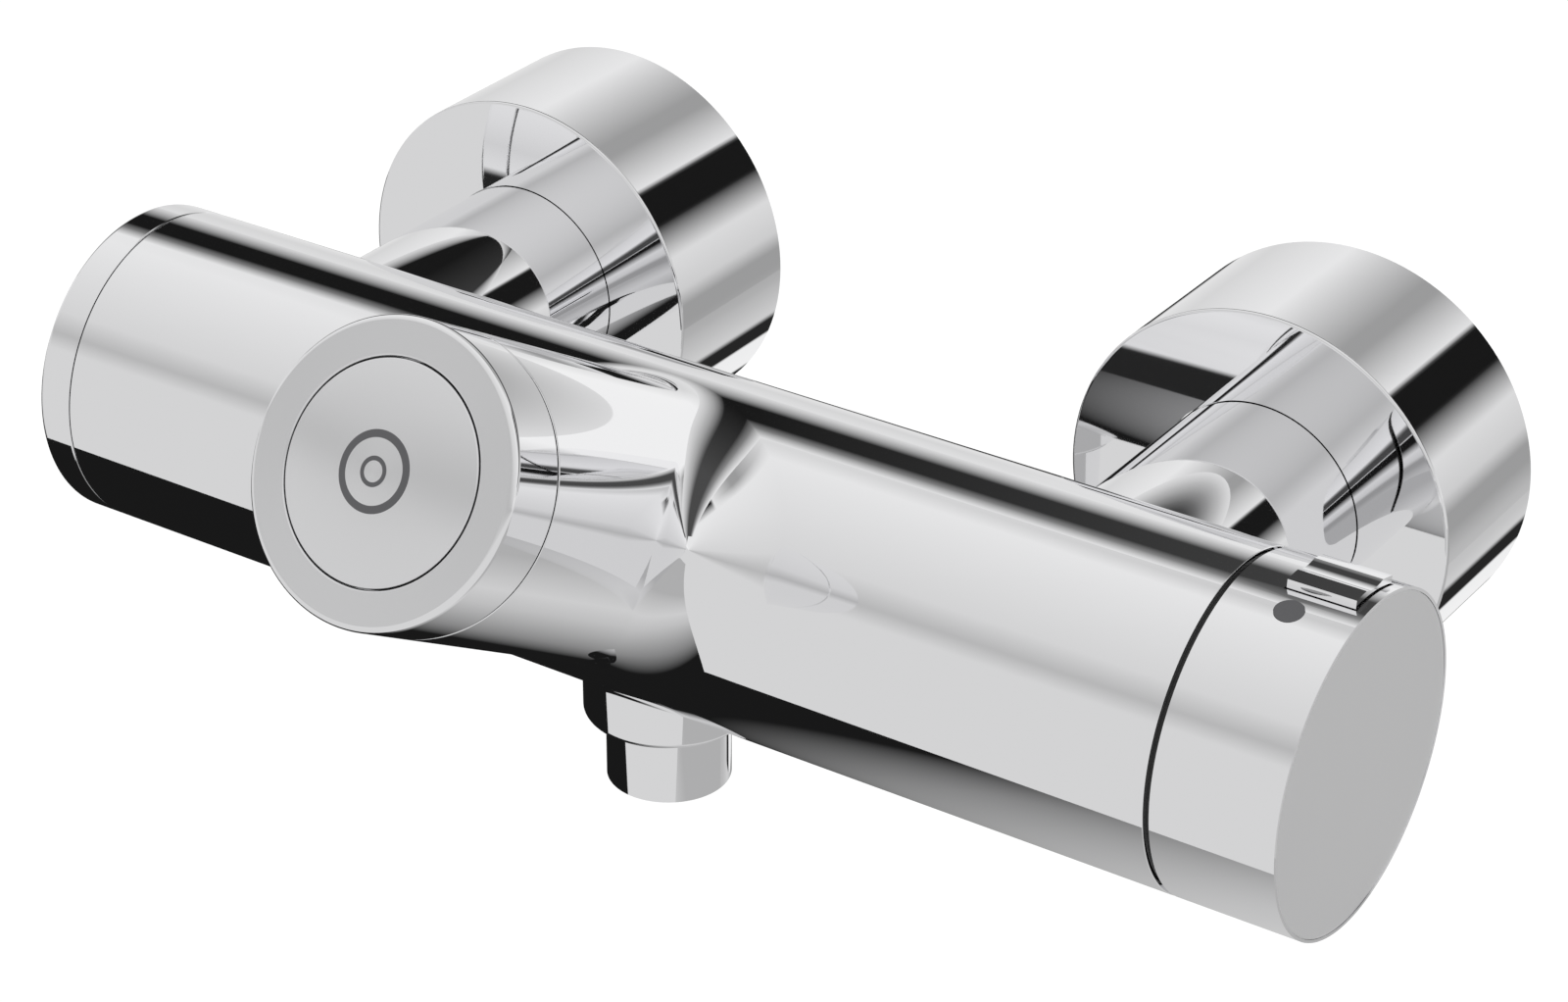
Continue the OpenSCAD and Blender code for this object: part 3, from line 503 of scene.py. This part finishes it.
def make_button():
    skin = Skin()
    where = branch_place(BOSS_TILT)
    middle = BEZEL_FRONT + DOME_H - DOME_R
    fillet_r = BUTTON_R - SOFT_EDGE
    fillet_z = middle + sqrt((DOME_R - SOFT_EDGE) ** 2 - fillet_r ** 2)
    lean = degrees(atan2(fillet_z - middle, fillet_r))
    runs = outline([(0, STEM_TOP), (STEM_BORE_R, STEM_TOP), (STEM_BORE_R, HUB_BACK), (HUB_R, HUB_BACK),
                    (HUB_R, BUTTON_PLATE), (LIP_IN_R, BUTTON_PLATE), (LIP_IN_R, LIP_BACK),
                    (LIP_OUT_R, LIP_BACK), (LIP_OUT_R, LIP_TOP), (BUTTON_R, LIP_TOP), (BUTTON_R, fillet_z)])
    runs.append(arc_points((fillet_r, fillet_z), SOFT_EDGE, 0, lean))
    radii = [DOME_R * cos(radians(lean)), MARK_R, MARK_IN_R, SMALL_MARK_R, SMALL_MARK_IN_R, 0]
    for i, (outer, inner) in enumerate(zip(radii, radii[1:])):
        grooved = i % 2 == 1
        runs += dome_run(outer, inner, MARK_DEPTH if grooved else 0)
        if grooved:
            for radius, faces_in in ((outer, -1), (inner, 1)):
                top = middle + sqrt(DOME_R ** 2 - radius ** 2)
                floor = middle + sqrt((DOME_R - MARK_DEPTH) ** 2 - radius ** 2)
                runs.append((np.array([(radius, floor), (radius, top)]), np.array([(faces_in, 0.0)] * 2)))
    turned(skin, where, runs)
    skin.build("push_button_skin", SATIN, "press", ["push_button"])


def make_bezel():
    """Polished side and turned front of the bezel, as two rings."""
    where = branch_place(BOSS_TILT)
    bore, rim, shelf = BUTTON_R + BUTTON_GAP, BOSS_R - BEZEL_EDGE, BEZEL_FRONT - BEZEL_SKIN
    side = Skin()
    back = BOSS_L + SEAM
    corners = [(SKIRT_BORE_R, BEZEL_BACK), (BEZEL_THREAD_R, BEZEL_BACK), (BEZEL_THREAD_R, back),
               (BOSS_R, back, SOFT_EDGE), (BOSS_R, BEZEL_FRONT, BEZEL_EDGE), (rim, BEZEL_FRONT), (rim, shelf),
               (bore, shelf), (bore, SKIRT_TOP), (SKIRT_BORE_R, SKIRT_TOP), (SKIRT_BORE_R, BEZEL_BACK)]
    turned(side, where, outline(corners))
    side.build("bezel_side", CHROME, "valve", ["button_bezel"])
    face = Skin()
    corners = [(rim, shelf), (rim, BEZEL_FRONT), (bore, BEZEL_FRONT, SOFT_EDGE), (bore, shelf), (rim, shelf)]
    turned(face, where, outline(corners))
    face.build("bezel_face", SATIN, "valve", ["button_bezel"])


def make_end_cap():
    skin = Skin()
    near_end, far_end = (-depth for depth in PLUG_GROOVE)
    corners = [(0, -CAP_FACE_T), (PLUG_BORE_R, -CAP_FACE_T), (PLUG_BORE_R, -PLUG_L), (PLUG_R, -PLUG_L),
               (PLUG_R, far_end), (PLUG_GROOVE_R, far_end), (PLUG_GROOVE_R, near_end), (PLUG_R, near_end),
               (PLUG_R, SEAM), (TUBE_R, SEAM, SOFT_EDGE), (TUBE_R, CAP_L, CAP_EDGE), (0, CAP_L)]
    turned(skin, tube_place(BODY_LEFT, -1), outline(corners))
    skin.build("end_cap_skin", CHROME, "valve", ["end_cap"])


finish_nodes()
make_body()
make_bezel()
make_button()
make_end_cap()

# The photograph's viewpoint, from the fitted camera: place in metres, angles in degrees
CAMERA_PLACE = (0.33716, -0.56080, 0.30828)
CAMERA_AZIMUTH = 33.864
CAMERA_ELEVATION = 28.657
CAMERA_ROLL = 0.287
CAMERA_LENS = 93.25
SENSOR = 36
CLIP_START = 0.01


def make_camera():
    data = bpy.data.cameras.new("camera")
    data.sensor_width = SENSOR
    data.sensor_fit = "HORIZONTAL"
    data.lens = CAMERA_LENS
    data.clip_start = CLIP_START
    camera = bpy.data.objects.new("camera", data)
    bpy.context.scene.collection.objects.link(camera)
    a, e, roll = radians(CAMERA_AZIMUTH), radians(CAMERA_ELEVATION), radians(CAMERA_ROLL)
    forward = Vector((-sin(a) * cos(e), cos(a) * cos(e), -sin(e)))
    right = Vector((cos(a), sin(a), 0))
    up = right.cross(forward)
    right, up = right * cos(roll) + up * sin(roll), up * cos(roll) - right * sin(roll)
    turn = Matrix((right, up, -forward)).transposed().to_4x4()
    camera.matrix_world = Matrix.Translation(CAMERA_PLACE) @ turn
    bpy.context.scene.camera = camera


make_camera()

# Studio: what the chrome mirrors, as linear brightness at angles or at places in millimetres
# One soft grey dip in front; dark flags and grey dips between pale panels behind
FRONT_STOPS = [(-180, 0.9), (-172, 0.7), (18, 0.7), (29, 0.5), (45, 0.7), (110, 0.85), (150, 0.85),
               (180, 0.95)]
FRONT_ENDS = (0.25, 0.4)
REAR_STOPS = [(-180, 0.9), (-155, 0.9), (-150, 0.02), (-124, 0.02), (-118, 0.8), (-92, 0.7), (-44, 0.85),
              (3, 0.35), (12, 0.35), (38, 0.8), (41, 0.01), (63, 0.01), (84, 0.75), (105, 0.65),
              (115, 0.35), (125, 0.35), (140, 0.5), (160, 0.65), (164, 0.02), (176, 0.02), (178, 0.9)]
FAR_STARTS = (0.89, 0.94)
FAR_GREY = 0.92
FLOOR_LEVEL = -300
FLOOR_SIZE = 4000
FLOOR_COLOUR = (0.55, 0.55, 0.55, 1)
FLOOR_GLOW = 0.5
FLAT_REACH = 900
CARD_LEVEL = -200
CARD_FRONT = -252
CARD_BACK = 135
CARD_STOPS = [(-300, 0.01), (-60, 0.01), (-15, 0.25), (60, 0.55), (100, 0.65), (200, 0.45)]
CARD_SKEW = 0.2
CARD_PIVOT = 140
STRIP_STOPS = [(31, 0.7), (50, 0.45), (70, 0.25), (90, 0.1), (110, 0.01), (160, 0.01), (175, 0.2),
               (197, 0.8)]
STRIP_RANGE = (30, 200)
STRIP_FADE = [(-100, 0), (0, 0.03), (100, 0.06)]
STRIP_LINE = [(-22, 31), (76, 123), (6.4, 197)]
X_RANGE = (-300, 300)
ANGLE_RANGE = (-180, 180)


def math_node(nodes, links, operation, *inputs):
    node = nodes.new("ShaderNodeMath")
    node.operation = operation
    for socket, value in zip(node.inputs, inputs):
        if isinstance(value, (int, float)):
            socket.default_value = value
        else:
            links.new(value, socket)
    return node.outputs[0]


def angle_of(nodes, links, rise, run):
    """Angle of a direction's two parts, in degrees."""
    turn = math_node(nodes, links, "ARCTAN2", rise, run)
    return math_node(nodes, links, "MULTIPLY", turn, degrees(1))


def grey_ramp(nodes, links, source, stops, low, high):
    """Grey values at places between low and high."""
    ramp_node = nodes.new("ShaderNodeValToRGB")
    elements = ramp_node.color_ramp.elements
    while len(elements) > 1:
        elements.remove(elements[-1])
    for i, (at, value) in enumerate(stops):
        share = (at - low) / (high - low)
        element = elements[0] if i == 0 else elements.new(share)
        element.position = share
        element.color = (value, value, value, 1)
    links.new(share_between(nodes, links, source, low, high), ramp_node.inputs["Fac"])
    return ramp_node.outputs["Color"]


def share_between(nodes, links, source, low, high):
    """Rises from 0 to 1 between low and high."""
    node = nodes.new("ShaderNodeMapRange")
    node.inputs["From Min"].default_value = low
    node.inputs["From Max"].default_value = high
    links.new(source, node.inputs["Value"])
    return node.outputs["Result"]


def mixed(nodes, links, share, first, second):
    mix = nodes.new("ShaderNodeMix")
    mix.data_type = "RGBA"
    links.new(share, mix.inputs["Factor"])
    links.new(first, mix.inputs["A"])
    links.new(second, mix.inputs["B"])
    return mix.outputs["Result"]


def make_world():
    """White to the eye and to matt surfaces; a graded studio to shiny ones."""
    world = bpy.data.worlds.new("world")
    bpy.context.scene.world = world
    world.use_nodes = True
    nodes, links = world.node_tree.nodes, world.node_tree.links
    nodes.clear()
    way = nodes.new("ShaderNodeSeparateXYZ")
    links.new(nodes.new("ShaderNodeTexCoord").outputs["Generated"], way.inputs[0])
    x, y, z = (way.outputs[axis] for axis in "XYZ")
    rise = angle_of(nodes, links, z, math_node(nodes, links, "MULTIPLY", y, -1))
    lean = angle_of(nodes, links, x, z)
    front = grey_ramp(nodes, links, rise, FRONT_STOPS, *ANGLE_RANGE)
    panels = grey_ramp(nodes, links, lean, REAR_STOPS, *ANGLE_RANGE)
    far_back = grey_ramp(nodes, links, lean, [(0, FAR_GREY)], *ANGLE_RANGE)
    rear = mixed(nodes, links, share_between(nodes, links, y, *FAR_STARTS), panels, far_back)
    turned_back = share_between(nodes, links, y, *FRONT_ENDS)
    studio = nodes.new("ShaderNodeBackground")
    links.new(mixed(nodes, links, turned_back, front, rear), studio.inputs["Color"])
    plain_light = nodes.new("ShaderNodeBackground")
    plain_light.inputs["Color"].default_value = (1, 1, 1, 1)
    mix = nodes.new("ShaderNodeMixShader")
    links.new(nodes.new("ShaderNodeLightPath").outputs["Is Glossy Ray"], mix.inputs["Fac"])
    links.new(plain_light.outputs[0], mix.inputs[1])
    links.new(studio.outputs[0], mix.inputs[2])
    output = nodes.new("ShaderNodeOutputWorld")
    links.new(mix.outputs[0], output.inputs["Surface"])


def stage_sheet(name, corners, faces):
    mesh = bpy.data.meshes.new(name)
    mesh.from_pydata([tuple(c * MM for c in corner) for corner in corners], [], faces)
    sheet = bpy.data.objects.new(name, mesh)
    bpy.context.scene.collection.objects.link(sheet)
    material = bpy.data.materials.new(name)
    material.use_nodes = True
    material.node_tree.nodes.clear()
    mesh.materials.append(material)
    return sheet, material.node_tree.nodes, material.node_tree.links


def stage_plane(name, corners):
    return stage_sheet(name, corners, [(0, 1, 2, 3)])


def mirrored_only(plane):
    """A studio card that only shiny surfaces show."""
    plane.visible_camera = False
    plane.visible_diffuse = False
    plane.visible_transmission = False
    plane.visible_volume_scatter = False
    plane.visible_shadow = False


def surface_output(nodes, links, shader):
    output = nodes.new("ShaderNodeOutputMaterial")
    links.new(shader, output.inputs["Surface"])


def card_output(nodes, links, colour):
    glow = nodes.new("ShaderNodeEmission")
    links.new(colour, glow.inputs["Color"])
    surface_output(nodes, links, glow.outputs[0])


def spot_along(nodes, links, axis):
    """Place along an axis in millimetres."""
    spot = nodes.new("ShaderNodeSeparateXYZ")
    links.new(nodes.new("ShaderNodeTexCoord").outputs["Object"], spot.inputs[0])
    return math_node(nodes, links, "DIVIDE", spot.outputs[axis], MM)


def make_floor():
    """White floor that keeps the shadow; it doesn't hide the valve from below."""
    half = FLOOR_SIZE / 2
    corners = [(x * half, y * half, FLOOR_LEVEL) for x, y in ((-1, -1), (1, -1), (1, 1), (-1, 1))]
    plane, nodes, links = stage_plane("floor", corners)
    plane.visible_glossy = False
    matt = nodes.new("ShaderNodeBsdfDiffuse")
    matt.inputs["Color"].default_value = FLOOR_COLOUR
    glow = nodes.new("ShaderNodeEmission")
    glow.inputs["Strength"].default_value = FLOOR_GLOW
    both = nodes.new("ShaderNodeAddShader")
    links.new(matt.outputs[0], both.inputs[0])
    links.new(glow.outputs[0], both.inputs[1])
    seen = nodes.new("ShaderNodeMixShader")
    links.new(nodes.new("ShaderNodeNewGeometry").outputs["Backfacing"], seen.inputs["Fac"])
    links.new(both.outputs[0], seen.inputs[1])
    links.new(nodes.new("ShaderNodeBsdfTransparent").outputs[0], seen.inputs[2])
    surface_output(nodes, links, seen.outputs[0])


def make_low_card():
    """Dark on the left and paler to the right, below the valve."""
    corners = [(x, y, CARD_LEVEL) for x, y in ((-FLAT_REACH, CARD_FRONT), (FLAT_REACH, CARD_FRONT),
                                               (FLAT_REACH, CARD_BACK), (-FLAT_REACH, CARD_BACK))]
    plane, nodes, links = stage_plane("low_card", corners)
    mirrored_only(plane)
    across = math_node(nodes, links, "ADD", spot_along(nodes, links, "Y"), CARD_PIVOT)
    skew = math_node(nodes, links, "MULTIPLY", across, CARD_SKEW)
    along = math_node(nodes, links, "ADD", spot_along(nodes, links, "X"), skew)
    card_output(nodes, links, grey_ramp(nodes, links, along, CARD_STOPS, *X_RANGE))


def make_strip():
    """Long dark strip above and behind the tube, with soft edges."""
    corners = [(side * FLAT_REACH, y, z) for y, z in STRIP_LINE for side in (-1, 1)]
    sheet, nodes, links = stage_sheet("dark_strip", corners, [(i, i + 1, i + 3, i + 2) for i in (0, 2)])
    mirrored_only(sheet)
    height = grey_ramp(nodes, links, spot_along(nodes, links, "Z"), STRIP_STOPS, *STRIP_RANGE)
    fade = grey_ramp(nodes, links, spot_along(nodes, links, "X"), STRIP_FADE, *X_RANGE)
    card_output(nodes, links, math_node(nodes, links, "ADD", height, fade))


make_world()
make_floor()
make_low_card()
make_strip()
bpy.context.scene.view_settings.view_transform = "Standard"
